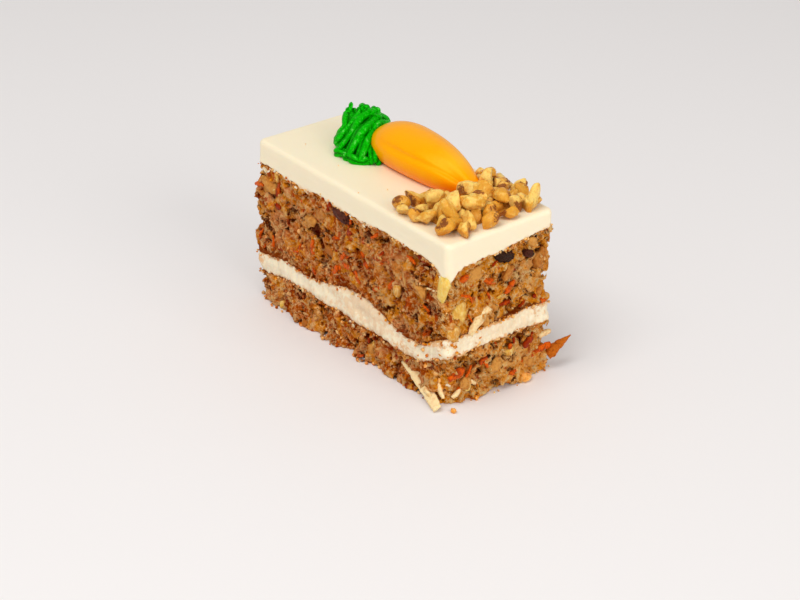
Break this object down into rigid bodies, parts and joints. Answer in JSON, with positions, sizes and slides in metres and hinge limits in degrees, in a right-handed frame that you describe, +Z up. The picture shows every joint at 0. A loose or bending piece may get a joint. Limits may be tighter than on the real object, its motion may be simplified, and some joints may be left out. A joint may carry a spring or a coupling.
{
  "type": "carrot cake slice",
  "caption": "Oblong slice of layered carrot cake with cream cheese filling and icing, a piped icing carrot with green leaves, and a heap of chopped walnuts at one end.",
  "frame": {"origin": "centre of the slice's underside, on the surface that it stands on", "axes": "+Z up; +X along the slice towards the end with the nuts; -Y out of the long side that the picture shows"},
  "size_m": [0.1132, 0.0569, 0.0757],
  "materials": {
    "crumb": "moist brown carrot sponge, open and crumbly at the cut",
    "cream": "smooth warm white cream cheese icing with a soft sheen",
    "orange_icing": "glossy yellow-orange piped icing",
    "green_icing": "glossy bright green piped icing",
    "walnut": "pale tan chopped walnut with bits of brown skin"
  },
  "bodies": {
    "root": {"sponge_lower": "crumb", "filling": "cream", "sponge_upper": "crumb", "icing_top": "cream", "piped_carrot": "orange_icing", "carrot_leaves": "green_icing", "walnut_pieces": "walnut"}
  },
  "joints": []
}
